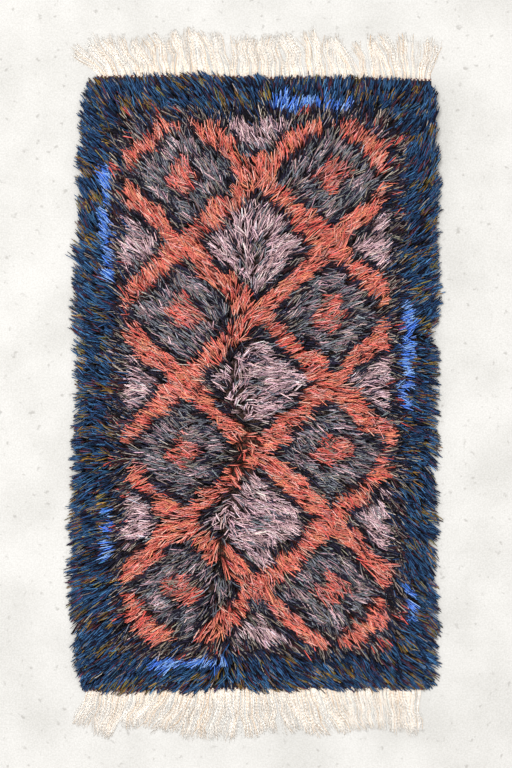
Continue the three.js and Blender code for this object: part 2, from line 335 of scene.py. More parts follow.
class Dye(Enum):
    """The dyes of the pile's yarns, as sRGB colours."""

    NAVY = (0.115, 0.22, 0.36)
    BLUE = (0.19, 0.33, 0.47)
    INK = (0.07, 0.08, 0.16)
    BLACK = (0.06, 0.05, 0.08)
    MAROON = (0.29, 0.15, 0.19)
    OCHRE = (0.47, 0.36, 0.17)
    OLIVE = (0.40, 0.37, 0.22)
    COBALT = (0.28, 0.46, 0.84)
    SKY = (0.55, 0.70, 1.00)
    CORAL = (0.81, 0.45, 0.39)
    SALMON = (0.84, 0.61, 0.56)
    FLAME = (0.84, 0.52, 0.40)
    BRICK = (0.78, 0.34, 0.31)
    ROSE = (0.77, 0.49, 0.49)
    UMBER = (0.24, 0.13, 0.14)
    TAUPE = (0.50, 0.46, 0.43)
    MAUVE = (0.78, 0.65, 0.67)
    PALE = (0.94, 0.82, 0.83)
    HEATHER = (0.57, 0.46, 0.49)
    SLATE = (0.42, 0.43, 0.46)
    CHARCOAL = (0.13, 0.12, 0.19)


class Zone(Enum):
    """The parts of the knotted design, each with its mixture of yarns and their shares."""

    BORDER = (
        (Dye.INK, 0.12), (Dye.NAVY, 0.31), (Dye.BLUE, 0.26), (Dye.BLACK, 0.09),
        (Dye.MAROON, 0.09), (Dye.TAUPE, 0.02), (Dye.OLIVE, 0.05), (Dye.OCHRE, 0.06),
    )
    SHADE = (
        (Dye.BLACK, 0.22), (Dye.NAVY, 0.13), (Dye.CHARCOAL, 0.24), (Dye.TAUPE, 0.24),
        (Dye.UMBER, 0.15), (Dye.BRICK, 0.02),
    )
    CORAL = (
        (Dye.FLAME, 0.11), (Dye.CORAL, 0.45), (Dye.SALMON, 0.16), (Dye.BRICK, 0.17),
        (Dye.ROSE, 0.06), (Dye.UMBER, 0.05),
    )
    ROSE = (
        (Dye.SALMON, 0.08), (Dye.CORAL, 0.22), (Dye.BRICK, 0.20), (Dye.ROSE, 0.24),
        (Dye.UMBER, 0.10), (Dye.TAUPE, 0.16),
    )
    MAUVE = (
        (Dye.PALE, 0.08), (Dye.MAUVE, 0.52), (Dye.HEATHER, 0.24), (Dye.SLATE, 0.08), (Dye.CHARCOAL, 0.08),
    )
    SLATE = (
        (Dye.MAUVE, 0.08), (Dye.HEATHER, 0.17), (Dye.SLATE, 0.40), (Dye.TAUPE, 0.11), (Dye.CHARCOAL, 0.24),
    )
    OUTLINE = (
        (Dye.SLATE, 0.12), (Dye.CHARCOAL, 0.36), (Dye.BLACK, 0.30), (Dye.UMBER, 0.12), (Dye.TAUPE, 0.10),
    )
    ACCENT = (
        (Dye.SKY, 0.42), (Dye.COBALT, 0.48), (Dye.NAVY, 0.10),
    )


ZONES = list(Zone)


@dataclass(frozen=True)
class Dash:
    """A stretch of the broken bright line inside the border, from start to end.

    It runs along the rug on the side of that sign, or, where it isn't lengthwise, across the rug near
    the end of that sign.
    """

    lengthwise: bool
    sign: int
    start: float
    end: float


@dataclass(frozen=True)
class LozengeDesign:
    """The knotted design: a dark border round a field of concentric lozenges in a staggered lattice.

    border_pick and field_pick hold the share of the yarns that take their whole knot's dye, and the
    weight of the patches in which one dye gathers.
    """

    field_half_width: float = 0.284
    field_half_length: float = 0.536
    corner: float = 0.075
    half_width: float = 0.142
    half_height: float = 0.134
    shade_width: float = 0.030
    line_width: float = 0.017
    line_clear: float = 0.2
    waver: float = 0.009
    border_pick: tuple[float, float] = (0.4, 0.6)
    field_pick: tuple[float, float] = (0.15, 0.5)
    dashes: tuple[Dash, ...] = (
        Dash(True, -1, 0.19, 0.42),
        Dash(True, -1, -0.34, -0.25),
        Dash(True, 1, -0.05, 0.15),
        Dash(True, 1, -0.47, -0.40),
        Dash(False, 1, 0.02, 0.19),
        Dash(False, -1, -0.21, -0.06),
    )

    def outside_field(self, x: Array, y: Array) -> Array:
        """How far a place is outside the field's rounded rectangle, below 0 inside it.

        Args:
            x: Places across the rug.
            y: Places along the rug.

        Returns:
            The distances.
        """
        dx = np.abs(x) - (self.field_half_width - self.corner)
        dy = np.abs(y) - (self.field_half_length - self.corner)
        beyond = np.hypot(np.maximum(dx, 0.0), np.maximum(dy, 0.0))
        return beyond + np.minimum(np.maximum(dx, dy), 0.0) - self.corner

    def lozenge(self, x: Array, y: Array) -> tuple[Array, Array]:
        """Where a place is in its lozenge.

        With a and b the half sum and half difference of the place's shares of the lozenge's half
        width and half height, the middles are at whole a and b, and the distance from one is twice
        the larger part of a or b past its whole number.

        Args:
            x: Places across the rug.
            y: Places along the rug.

        Returns:
            The distance, 0 at the middle and 1 at the outline, and the row's number.
        """
        a = (x / self.half_width + y / self.half_height) / 2.0
        b = (x / self.half_width - y / self.half_height) / 2.0
        whole_a, whole_b = np.round(a), np.round(b)
        return 2.0 * np.maximum(np.abs(a - whole_a), np.abs(b - whole_b)), whole_a - whole_b

    def zones(self, x: Array, y: Array) -> Array:
        """The zone of each place, as its number in ZONES.

        The places waver first, as hand-knotted lines do. A lozenge's rings go over each other from its
        outline inward, with other zones in every other row, and then come the field's dark rim, the
        border and the dashes of the bright line.

        Args:
            x: Places across the rug.
            y: Places along the rug.

        Returns:
            The numbers.
        """
        number = {zone: k for k, zone in enumerate(ZONES)}
        x = x + self.waver * ripple(x, y, 0.055, 31)
        y = y + self.waver * ripple(x, y, 0.06, 32)
        distance, row = self.lozenge(x, y)
        odd = np.mod(row, 2.0) == 1.0
        rings = (
            (1.01, Zone.CORAL, Zone.CORAL),
            (0.82, Zone.OUTLINE, Zone.OUTLINE),
            (0.66, Zone.MAUVE, Zone.SLATE),
            (0.36, Zone.MAUVE, Zone.OUTLINE),
            (0.28, Zone.MAUVE, Zone.ROSE),
            (0.17, Zone.SLATE, Zone.ROSE),
        )
        zone = np.full(x.shape, number[Zone.CORAL])
        for edge, even_zone, odd_zone in rings:
            inside = distance < edge
            zone[inside] = np.where(odd[inside], number[odd_zone], number[even_zone])
        outside = self.outside_field(x, y)
        zone[outside > -self.shade_width] = number[Zone.SHADE]
        zone[outside > 0.0] = number[Zone.BORDER]
        on_line = (outside > 0.0) & (outside < self.line_width)
        for dash in self.dashes:
            across, along = (x, y) if dash.lengthwise else (y, x)
            side = (np.sign(across) == dash.sign) & (np.abs(across) > self.line_clear)
            zone[on_line & side & (along > dash.start) & (along < dash.end)] = number[Zone.ACCENT]
        return zone

    def dye(
        self, x: Array, y: Array, knot_pick: Array, yarn_pick: Array, patch: Array
    ) -> tuple[Array, Array]:
        """Picks the yarns' colours.

        In a zone, the yarns are ranked by a number that is their knot's for some yarns and their own
        for the rest, plus the slow noise of patches. Seven times their own number, less its whole part,
        says which yarns go by their knot. The ranks then run through the zone's mixture.

        Args:
            x: Places across the rug where each yarn shows.
            y: Places along it.
            knot_pick: A number from 0 to 1 for each yarn, the same for a whole knot.
            yarn_pick: A number from 0 to 1 for each yarn.
            patch: Smooth noise from 0 to 1 at each yarn.

        Returns:
            The zone numbers, and the linear colours as rows.
        """
        zone = self.zones(x, y)
        colours = np.zeros((len(x), 3))
        for k, one in enumerate(ZONES):
            mine = zone == k
            whole_knots, patchy = self.border_pick if one is Zone.BORDER else self.field_pick
            by_knot = np.mod(yarn_pick[mine] * 7.0, 1.0) < whole_knots
            pick = np.where(by_knot, knot_pick[mine], yarn_pick[mine]) + patchy * patch[mine]
            rank = np.argsort(np.argsort(pick)) / max(len(pick), 1)
            edges = np.cumsum([share for _, share in one.value])
            which = np.searchsorted(edges / edges[-1], rank, side="right")
            shades = np.array([linear(dye.value) for dye, _ in one.value])
            colours[mine] = shades[np.minimum(which, len(shades) - 1)]
        return zone, colours


@dataclass
class ClothOutline:
    """The woven ground's outline, taken from the frame: its two selvedges and its two ends.

    The ends are drawn in from the frame's by near_draw and far_draw, to where the real rug's pile ends.
    """

    left_edge: Array
    right_edge: Array
    near_edge: Array
    far_edge: Array
    far_draw: Course = ((-0.34, -0.12, 0.04, 0.34), (0.0, 0.0, 0.008, 0.010))
    near_draw: float = 0.004
    side_share: float = 0.88
    end_share: float = 0.976

    @classmethod
    def of(cls, node: bpy.types.Object) -> "ClothOutline":
        """Sorts the rim points of the ground's node into its four edges.

        All its points are on the rim. Those beyond a share of its reach make up a side or an end.

        Args:
            node: The ground's node.

        Returns:
            The outline.
        """
        points = np.zeros(len(node.data.vertices) * 3)
        node.data.vertices.foreach_get("co", points)
        points = points.reshape(-1, 3)
        low, high = points.min(0), points.max(0)

        def edge(mine: Array, key: int) -> Array:
            """The chosen points in order of one coordinate."""
            chosen = points[mine][:, :2]
            return chosen[np.argsort(chosen[:, key], kind="stable")]

        return cls(
            left_edge=edge(points[:, 0] < cls.side_share * low[0], 1),
            right_edge=edge(points[:, 0] > cls.side_share * high[0], 1),
            near_edge=edge(points[:, 1] < cls.end_share * low[1], 0),
            far_edge=edge(points[:, 1] > cls.end_share * high[1], 0),
        )

    def left(self, y: Array) -> Array:
        """The left selvedge at y."""
        return np.interp(y, self.left_edge[:, 1], self.left_edge[:, 0])

    def right(self, y: Array) -> Array:
        """The right selvedge at y."""
        return np.interp(y, self.right_edge[:, 1], self.right_edge[:, 0])

    def end(self, x: Array, side: int) -> Array:
        """The end at x, drawn in a few millimetres from the frame's.

        Args:
            x: Places across the rug.
            side: 1 for the far end, -1 for the near one.

        Returns:
            Its place along the rug.
        """
        if side > 0:
            return np.interp(x, self.far_edge[:, 0], self.far_edge[:, 1]) - np.interp(x, *self.far_draw)
        return np.interp(x, self.near_edge[:, 0], self.near_edge[:, 1]) + self.near_draw

    def plan(self, across: Array, along: Array) -> tuple[Array, Array]:
        """The place at these shares of the way across and along the cloth.

        Args:
            across: Shares of the way from the left selvedge to the right one.
            along: Shares of the way from the near end to the far one.

        Returns:
            The places across the rug and along it.
        """
        middle = np.zeros_like(along)
        straight = self.end(middle, -1) * (1 - along) + self.end(middle, 1) * along
        x = self.left(straight) * (1 - across) + self.right(straight) * across
        return x, self.end(x, -1) * (1 - along) + self.end(x, 1) * along

    def beyond(self, x: Array, y: Array) -> Array:
        """How far a place is outside the cloth, 0 on it."""
        side = np.maximum(np.maximum(self.left(y) - x, x - self.right(y)), 0.0)
        return np.hypot(side, np.maximum(self.past_end(x, y), 0.0))

    def past_end(self, x: Array, y: Array) -> Array:
        """How far a place is past the nearer end, below 0 on the cloth."""
        return np.maximum(self.end(x, -1) - y, y - self.end(x, 1))


def add_piece(name: str, points: Array, loops: Array, starts: Array) -> bpy.types.Object:
    """Makes a smooth mesh object at the origin.

    Args:
        name: Its name.
        points: Its points, as rows.
        loops: The point counters of all its faces, one face after the other.
        starts: Where each face starts in loops.

    Returns:
        The object.
    """
    mesh = bpy.data.meshes.new(name)
    mesh.vertices.add(len(points))
    mesh.vertices.foreach_set("co", points.astype(np.float32).ravel())
    mesh.loops.add(len(loops))
    mesh.loops.foreach_set("vertex_index", loops.astype(np.int32))
    mesh.polygons.add(len(starts))
    mesh.polygons.foreach_set("loop_start", starts.astype(np.int32))
    mesh.polygons.foreach_set("use_smooth", np.ones(len(starts), bool))
    mesh.update(calc_edges=True)
    piece = bpy.data.objects.new(name, mesh)
    bpy.context.scene.collection.objects.link(piece)
    return piece


def dress(piece: bpy.types.Object, material: bpy.types.Material, slot: str, *nodes: str) -> bpy.types.Object:
    """Gives a piece its material, sets it in the frame and hides the frame's nodes that it stands for.

    Args:
        piece: The piece.
        material: Its finish.
        slot: Not used.
        nodes: The frame's nodes that it stands for.

    Returns:
        The piece.
    """
    piece.data.materials.append(material)
    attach(piece, "root")
    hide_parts(*nodes)
    log.info("%s: %d faces", piece.name, len(piece.data.polygons))
    return piece


@dataclass
class YarnBundle:
    """Many loose yarns in one mesh, each a slim tube of a few sides that ends in a point.

    routes holds each yarn's points from root to tip, radii its radius at each of them but the tip,
    colours its linear colour, and starts a number from 0 to 1 that its plies start at. On the bake map
    each yarn has a cell, which it fills by bake_fill of its size from bake_inset on.
    """

    name: str
    routes: Array
    radii: Array
    colours: Array
    starts: Array
    sides: int = 3
    lowest: float = 0.0001
    cap_share: float = 0.06
    bake_aspect: float = 2.2
    bake_inset: float = 0.12
    bake_fill: tuple[float, float] = (0.76, 0.8)

    def points(self) -> Array:
        """The tubes' points.

        A ring's points are its centre plus the radius times cosine and sine of evenly spaced turns,
        along the level way across the yarn and the way square to that and to the yarn.

        Returns:
            For each yarn, its rings' points and then its tip.
        """
        yarns, stops, _ = self.routes.shape
        ahead = np.concatenate([self.routes[:, 1:], self.routes[:, -1:]], axis=1)
        behind = np.concatenate([self.routes[:, :1], self.routes[:, :-1]], axis=1)
        along = unit(ahead - behind)[:, :-1]
        whole = self.routes[:, -1:] - self.routes[:, :1]
        level = unit(along[..., :2] + 0.25 * unit(whole[..., :2]))
        across = np.stack([-level[..., 1], level[..., 0], np.zeros_like(level[..., 0])], axis=-1)
        across = unit(across - along * (across * along).sum(-1, keepdims=True))
        upward = np.cross(along, across)
        turn = TURN * (np.arange(self.sides) / self.sides + self.starts[:, None, None])
        turn = np.broadcast_to(turn, (yarns, stops - 1, self.sides))[..., None]
        spoke = across[:, :, None] * np.cos(turn) + upward[:, :, None] * np.sin(turn)
        rings = self.routes[:, :-1, None] + self.radii[:, :, None, None] * spoke
        rings[..., 2] = np.maximum(rings[..., 2], self.lowest)
        return np.concatenate([rings.reshape(yarns, -1, 3), self.routes[:, -1:]], axis=1)

    def faces(self) -> tuple[Array, Array, Array, Array]:
        """One yarn's faces and where their corners lie in the maps.

        Returns:
            The quads' and the triangles' point counters, and for both the corners' shares of the way
            round and along the yarn.
        """
        rings, side = self.routes.shape[1] - 1, np.arange(self.sides)
        ring, k = np.meshgrid(np.arange(rings - 1), side, indexing="ij")
        quad_ring = np.stack([ring, ring, ring + 1, ring + 1], -1).reshape(-1, 4)
        quad_side = np.stack([k, k + 1, k + 1, k], -1).reshape(-1, 4)
        quads = quad_ring * self.sides + quad_side % self.sides
        quad_map = np.stack([quad_side / self.sides, quad_ring / rings], -1)
        last, shoulder = (rings - 1) * self.sides, (rings - 1) / rings
        tips = np.stack([last + side, last + (side + 1) % self.sides, 0 * side + rings * self.sides], -1)
        tip_map = np.stack([
            np.stack([side, side + 1, side + 0.5], -1) / self.sides,
            np.broadcast_to([shoulder, shoulder, 1.0], (self.sides, 3)),
        ], -1)
        back = np.arange(1, self.sides - 1)
        caps = np.stack([0 * back, back + 1, back], -1)
        cap_map = np.stack([caps / self.sides, np.where(caps % 2 == 0, 0.0, -self.cap_share)], -1)
        return quads, np.concatenate([tips, caps]), quad_map, np.concatenate([tip_map, cap_map])

    def bake_map(self, corners: Array) -> Array:
        """The bake map: each yarn is unrolled into its own cell of a grid, with a margin round it.

        Args:
            corners: Where one yarn's face corners lie round it and along it, as shares.

        Returns:
            The corners of every yarn's faces on the map.
        """
        yarns = len(self.routes)
        rows = math.ceil(math.sqrt(yarns / self.bake_aspect))
        columns = math.ceil(yarns / rows)
        cell = np.arange(yarns)
        corner = np.stack([cell % columns, cell // columns], -1)[:, None, :]
        inside = self.bake_inset + corners * np.array(self.bake_fill)
        return (corner + inside) / np.array([columns, rows])

    def build(self) -> bpy.types.Object:
        """Puts all the yarns into one mesh, with their two maps and their colours.

        Returns:
            The object.
        """
        yarns = len(self.routes)
        points = self.points()
        quads, triangles, quad_map, triangle_map = self.faces()
        offset = (np.arange(yarns) * points.shape[1])[:, None, None]
        loops = np.concatenate([(quads + offset).ravel(), (triangles + offset).ravel()])
        quad_count, triangle_count = yarns * len(quads), yarns * len(triangles)
        starts = np.concatenate([
            np.arange(quad_count) * 4,
            quad_count * 4 + np.arange(triangle_count) * 3,
        ])
        piece = add_piece(self.name, points.reshape(-1, 3), loops, starts)
        one_yarn = [part.reshape(-1, 2) for part in (quad_map, triangle_map)]
        own = np.concatenate([np.tile(part, (yarns, 1)) for part in one_yarn])
        own[:, 1] = np.maximum(own[:, 1], 0.0)
        bake = np.concatenate([self.bake_map(part).reshape(-1, 2) for part in one_yarn])
        for name, values in ((YARN_MAP, own), (BAKE_MAP, bake)):
            piece.data.uv_layers.new(name=name).data.foreach_set("uv", values.astype(np.float32).ravel())
        rgba = np.concatenate([self.colours, self.starts[:, None]], axis=1)
        rgba = np.repeat(rgba[:, None], points.shape[1], axis=1)
        colour = piece.data.color_attributes.new(YARN_COLOUR, "FLOAT_COLOR", "POINT")
        colour.data.foreach_set("color", rgba.astype(np.float32).ravel())
        return piece


@dataclass
class BrushedKnots:
    """The knots' places, their tips once brushed, and how flat, how loose and how lifted each is."""

    place: Array
    tip: Array
    flat: Array
    loose: Array
    lift: Array


@dataclass
class Pile:
    """The knotted pile: rows of knots, each with a few loose yarns brushed outward into locks.

    A course holds places and its values there. The parting is where, at each place along the rug, the
    pile falls apart to both sides. The level line is where, at each place across it, the pile lies
    straight sideways. The gains push the tips out at the left and right, place by place along the
    rug. The limits say how far, place by place across it, the tips may pass the cloth's ends.

    The swirl and the snarl are each an angle and a size. The tone and hue spreads say how unevenly
    the yarns took their dye, and the brightness lifts them all.
    """

    outline: ClothOutline
    design: LozengeDesign
    columns: int = 104
    rows: int = 120
    rim_knots: int = 620
    yarns_a_knot: int = 4
    knot_spread: tuple[float, float] = (0.0036, 0.0046)
    tip_spread: float = 0.0012
    side_inset: float = 0.002
    far_overhang: float = 0.016
    near_overhang: float = 0.020
    far_limit: Course = (
        (-0.265, -0.250, -0.120, -0.070, -0.062, -0.016, -0.004, 0.040, 0.270, 0.290),
        (-0.0022, 0.0085, 0.0085, 0.0070, -0.0010, -0.0010, 0.0060, 0.0045, 0.0045, -0.0015),
    )
    near_limit: Course = ((-0.34, -0.30, 0.29, 0.33), (0.0020, 0.0060, 0.0060, 0.0020))
    end_waver: tuple[float, float] = (0.0022, 0.0050)
    end_stray: float = 0.0020
    end_cut: float = 0.8
    corner_short: float = 0.004
    ground_top: float = 0.003
    reach: float = 0.040
    height: float = 0.018
    yarn_radius: float = 0.00099
    stops: tuple[float, ...] = (0.0, 0.48, 0.93, 1.0)
    parting: Course = (
        (-0.60, -0.30, -0.20, -0.10, 0.00, 0.10, 0.20, 0.38, 0.46, 0.60),
        (-0.06, -0.07, -0.05, -0.02, -0.04, -0.06, -0.02, -0.01, 0.08, 0.08),
    )
    level_line: Course = (
        (-0.33, -0.20, -0.06, 0.00, 0.07, 0.14, 0.33),
        (-0.06, -0.22, -0.18, -0.05, 0.00, -0.04, 0.03),
    )
    left_gain: Course = (
        (-0.60, -0.45, -0.30, -0.15, 0.00, 0.15, 0.30, 0.45, 0.60),
        (-0.010, 0.012, 0.001, -0.008, -0.010, 0.003, 0.004, -0.004, 0.000),
    )
    right_gain: Course = (
        (-0.60, -0.45, -0.30, -0.15, 0.00, 0.15, 0.30, 0.45, 0.60),
        (0.012, 0.003, -0.004, -0.003, -0.010, -0.005, -0.010, -0.004, -0.010),
    )
    tangle: float = 0.013
    notch_y: float = 0.092
    notch_width: float = 0.016
    notch_depth: float = 0.018
    lock_pitch: float = 0.014
    parting_waver: float = 0.016
    parting_width: tuple[float, float] = (0.03, 0.20)
    most_climb: float = 0.88
    climb_length: float = 0.33
    swirl: tuple[float, float] = (0.34, 0.15)
    snarl: tuple[float, float] = (0.42, 0.05)
    least_flat: float = 0.55
    knot_reach: tuple[float, float] = (0.78, 1.08)
    yarn_reach: tuple[float, float] = (0.74, 1.12)
    corner_cut: float = 0.4
    lock_turn: float = 0.14
    knot_turn: float = 0.13
    yarn_turn: float = 0.15
    stray: float = 0.36
    knot_sag: float = 0.0030
    yarn_sag: float = 0.0016
    wiggle: tuple[float, float] = (0.0002, 0.0011)
    wiggle_turns: tuple[float, float] = (0.9, 1.7)
    droop: tuple[float, float] = (-0.002, 0.004)
    upright_rise: float = 0.007
    shown_share: float = 0.55
    brightness: float = 0.36
    tone_spread: tuple[float, float] = (0.34, 0.05)
    hue_spread: float = 0.04
    taper: tuple[float, ...] = (0.9, 1.0, 0.92)
    most_in_piece: int = 11500
    seed: int = 7

    def lie(self, x: Array, y: Array) -> Array:
        """The way that the pile is brushed, and how flat, as a vector from 0 to 1 long.

        Across the rug it points away from the parting, by the hyperbolic tangent of the distance from
        it, over a width that grows towards the far end. It climbs along the rug by an angle that is
        the same curve of the distance from the level line. Swirls turn it, and small snarls where the
        pile is loose. On the parting the yarns stand up, and they lie flattest away from it.

        Args:
            x: Places across the rug.
            y: Places along it.

        Returns:
            The vectors as rows.
        """
        parting = np.interp(y, *self.parting) + self.parting_waver * ripple(x, y, 0.028, 45)
        narrow, wide = self.parting_width
        sideways = np.tanh((x - parting) / (narrow + (wide - narrow) * ease(0.36, 0.5, y)))
        level = np.interp(x, *self.level_line)
        climb = self.most_climb * np.tanh((y - level) / self.climb_length)
        outward = np.stack([sideways * np.cos(climb), np.sin(climb)], axis=-1)
        turn = self.swirl[0] * ripple(x, y, self.swirl[1], 41)
        turn = turn + self.snarl[0] * self.loose(x, y) * ripple(x, y, self.snarl[1], 42)
        flat = np.linalg.norm(outward, axis=-1, keepdims=True)
        return self.turned(unit(outward) * (self.least_flat + (1.0 - self.least_flat) * flat), turn)

    @staticmethod
    def loose(x: Array, y: Array) -> Array:
        """How untidily the pile lies: 1 in the field, and less towards the rug's sides and ends."""
        return 1.0 - 0.65 * np.maximum(ease(0.24, 0.32, np.abs(x)), ease(0.47, 0.56, np.abs(y)))

    @staticmethod
    def turned(vectors: Array, turn: Array) -> Array:
        """Each level vector turned anticlockwise by its angle."""
        x, y = vectors[..., 0], vectors[..., 1]
        return np.stack([x * np.cos(turn) - y * np.sin(turn), x * np.sin(turn) + y * np.cos(turn)], axis=-1)

    def knots(self, rng: np.random.Generator) -> Array:
        """Sets out the knots: rows across the cloth, a little astray, and more along its selvedges.

        They keep off each end by the length that their yarns reach towards it, less the overhang.

        Args:
            rng: The random source.

        Returns:
            Their places as rows.
        """
        row, column = np.meshgrid(np.arange(self.rows), np.arange(self.columns), indexing="ij")
        across = (column.ravel() + 0.5 + rng.uniform(-0.35, 0.35, row.size)) / self.columns
        along = (row.ravel() + 0.5 + rng.uniform(-0.3, 0.3, row.size)) / self.rows
        rim = rng.integers(0, 2, self.rim_knots) + rng.uniform(0.0, 0.012, self.rim_knots)
        across = np.concatenate([across, np.abs(np.where(rim < 1.0, rim, 2.0 - rim))])
        along = np.concatenate([along, rng.random(self.rim_knots)])
        x, y = self.outline.plan(across, along)
        x = x * (1.0 - self.side_inset / np.abs(self.outline.left(y)))
        for side, overhang in ((1, self.far_overhang), (-1, self.near_overhang)):
            edge = self.outline.end(x, side)
            inset = self.reach * np.abs(self.lie(x, edge)[:, 1]) - overhang
            y = np.where(y * side > 0, y * (1.0 - inset / np.abs(edge)), y)
        return np.stack([x, y], axis=-1)

    def kept_share(self, root: Array, tip: Array, rng: np.random.Generator) -> Array:
        """The share of its reach that a yarn keeps, so that few tips pass the cloth's two ends.

        A limit wavers along the end and comes in at the corners. What runs past it is mostly cut.

        Args:
            root: The yarns' roots in plan.
            tip: The tips they would have.
            rng: The random source.

        Returns:
            A share from 0 to 1 for each yarn.
        """
        share = np.ones(len(root))
        stray = rng.exponential(self.end_stray, len(root))
        across, zeros = tip[:, 0], np.zeros(len(tip))
        for side, limit, waver in zip((1, -1), (self.far_limit, self.near_limit), self.end_waver):
            uneven = ripple(across, zeros, 0.09, 80 + side) + 0.4 * ripple(across, zeros, 0.016, 83 + side)
            short = self.corner_short * ease(0.27, 0.33, np.abs(across)) - waver * uneven
            edge = self.outline.end(across, side) * side + np.interp(across, *limit) - short + stray
            past = np.maximum(tip[:, 1] * side - edge, 0.0)
            run = np.maximum((tip[:, 1] - root[:, 1]) * side, 1e-4)
            share = np.minimum(share, 1.0 - self.end_cut * np.minimum(past / run, 1.0))
        return share

    def fitted(self, tips: Array) -> Array:
        """Moves the tips at the sides out or in, so that the rim wavers, and parts them at the notch.

        The pile is parted at one place on the right side, where its tips lie to both sides of a
        bell curve's middle and fall short by the curve.

        Args:
            tips: The tips in plan.

        Returns:
            The moved tips.
        """
        x, y = tips[:, 0], tips[:, 1]
        rim = ease(0.27, 0.35, np.abs(x))
        gain = np.where(x > 0, np.interp(y, *self.right_gain), np.interp(y, *self.left_gain))
        offset = (y - self.notch_y) / self.notch_width
        notch = np.exp(-(offset**2)) * ease(0.22, 0.32, x)
        moved_x = x + np.sign(x) * rim * gain - self.notch_depth * notch
        return np.stack([moved_x, y + 0.5 * self.notch_width * np.tanh(3.0 * offset) * notch], axis=-1)

    def brushed(self, rng: np.random.Generator) -> BrushedKnots:
        """Ties the knots and brushes them.

        A knot's tip lies its reach away along the lie, turned with its lock and by itself. The locks
        are the cells of a wavering grid, and each draws its tips towards their mean, most at the
        rug's sides.

        Args:
            rng: The random source.

        Returns:
            The knots.
        """
        knots = self.knots(rng)
        x, y = knots[:, 0], knots[:, 1]
        lie = self.lie(*(knots + rng.normal(0.0, self.tangle, knots.shape)).T)
        waver = np.stack([ripple(x, y, 0.04, 51), ripple(x, y, 0.04, 52)], -1)
        cell = np.floor(knots / self.lock_pitch + 0.5 * waver).astype(int)
        _, lock = np.unique(cell, axis=0, return_inverse=True)
        lock = lock.ravel()
        locks = lock.max() + 1
        loose = self.loose(x, y)
        lock_turn = rng.normal(0.0, self.lock_turn, locks)[lock] * loose
        lift = rng.uniform(-1.0, 1.0, locks)[lock]
        flat = np.linalg.norm(lie, axis=-1)
        stray = rng.normal(0.0, self.stray, knots.shape) * (1.1 - flat[:, None])
        lie = self.turned(lie, lock_turn + rng.normal(0.0, self.knot_turn, len(knots)) * loose) + stray
        corner = ease(0.27, 0.34, np.abs(x)) * ease(0.52, 0.6, np.abs(y))
        reach = self.reach * rng.uniform(*self.knot_reach, len(knots)) * (1.0 - self.corner_cut * corner)
        tips = self.fitted(knots + lie * reach[:, None])
        count = np.bincount(lock)
        mean = np.stack([np.bincount(lock, tips[:, k]) / count for k in (0, 1)], -1)[lock]
        rim = ease(0.28, 0.33, np.abs(x))
        tips = tips + (0.08 + 0.3 * rim[:, None]) * (mean - tips)
        return BrushedKnots(knots, tips, flat, loose, lift)

    def ends(self, knots: BrushedKnots, knot: Array, rng: np.random.Generator) -> tuple[Array, Array]:
        """Each yarn's root and tip in plan: its knot's, a little astray, and more so where it is loose.

        Args:
            knots: The knots.
            knot: Which knot each yarn belongs to.
            rng: The random source.

        Returns:
            The roots and the tips.
        """
        yarns = len(knot)
        apart = rng.uniform(-1.0, 1.0, (yarns, 2)) * np.array(self.knot_spread)
        root = knots.place[knot] + apart
        length = rng.uniform(*self.yarn_reach, yarns)[:, None]
        own_turn = rng.normal(0.0, self.yarn_turn, yarns) * knots.loose[knot]
        together = (0.25 + 0.5 * (1.0 - knots.loose))[knot][:, None]
        run = self.turned((knots.tip - knots.place)[knot] * length, own_turn)
        tip = knots.place[knot] + run + apart * (1.0 - together)
        tip = tip + rng.normal(0.0, self.tip_spread, (yarns, 2))
        return root, root + (tip - root) * self.kept_share(root, tip, rng)[:, None]

    def plan(self, root: Array, tip: Array, knot: Array, rng: np.random.Generator) -> Array:
        """Each yarn's course in plan: a curve with one bend beside its middle, and a sine about it.

        Args:
            root: The yarns' roots.
            tip: Their tips.
            knot: Which knot each yarn belongs to.
            rng: The random source.

        Returns:
            The points, by yarn and stop.
        """
        yarns = len(knot)
        way = unit(tip - root)
        aside = np.stack([-way[:, 1], way[:, 0]], -1)
        sag = rng.normal(0.0, self.knot_sag, knot.max() + 1)[knot] + rng.normal(0.0, self.yarn_sag, yarns)
        bend = (root + tip) / 2 + aside * sag[:, None]
        t = np.array(self.stops)[None, :, None]
        go = t**1.15
        plan = root[:, None] * (1 - go) ** 2 + 2 * bend[:, None] * go * (1 - go) + tip[:, None] * go**2
        waves, phase = rng.uniform(*self.wiggle_turns, (yarns, 1, 1)), rng.uniform(0.0, 1.0, (yarns, 1, 1))
        wiggle = rng.uniform(*self.wiggle, (yarns, 1, 1)) * np.sin(TURN * (waves * t + phase)) * t
        return plan + aside[:, None] * wiggle

    def levels(
        self, plan: Array, root: Array, knots: BrushedKnots, knot: Array, rng: np.random.Generator
    ) -> Array:
        """How high each yarn is on its way.

        It rises fast, as 1 less the cube of what is left of the way, and stays up to its tip. It
        rises more where the pile stands up, is pressed down near the cloth's ends, and droops to the
        floor past the cloth's edge.

        Args:
            plan: The yarns' points in plan.
            root: Their roots in plan.
            knots: The knots.
            knot: Which knot each yarn belongs to.
            rng: The random source.

        Returns:
            The heights, by yarn and stop.
        """
        yarns = len(knot)
        swell = ripple(root[:, 0], root[:, 1], 0.12, 61)
        rise = self.height + 0.003 * swell + 0.0026 * knots.lift[knot] + rng.normal(0.0, 0.002, yarns)
        rise = rise + self.upright_rise * (1.0 - knots.flat[knot])
        droop = rng.uniform(*self.droop, (yarns, 1))
        t = np.array(self.stops)
        stand = rise[:, None] * (1 - (1 - t) ** 3) - droop * t**2
        outside = self.outline.beyond(plan[..., 0], plan[..., 1])
        past_end = self.outline.past_end(plan[..., 0], plan[..., 1])
        stand = stand * (1.0 - 0.82 * ease(0.0, 0.034, outside)) * (1.0 - 0.6 * ease(-0.028, 0.006, past_end))
        base = self.ground_top * (1.0 - ease(0.0, 0.012, outside))
        return np.maximum(base + stand, self.yarn_radius * 0.8)

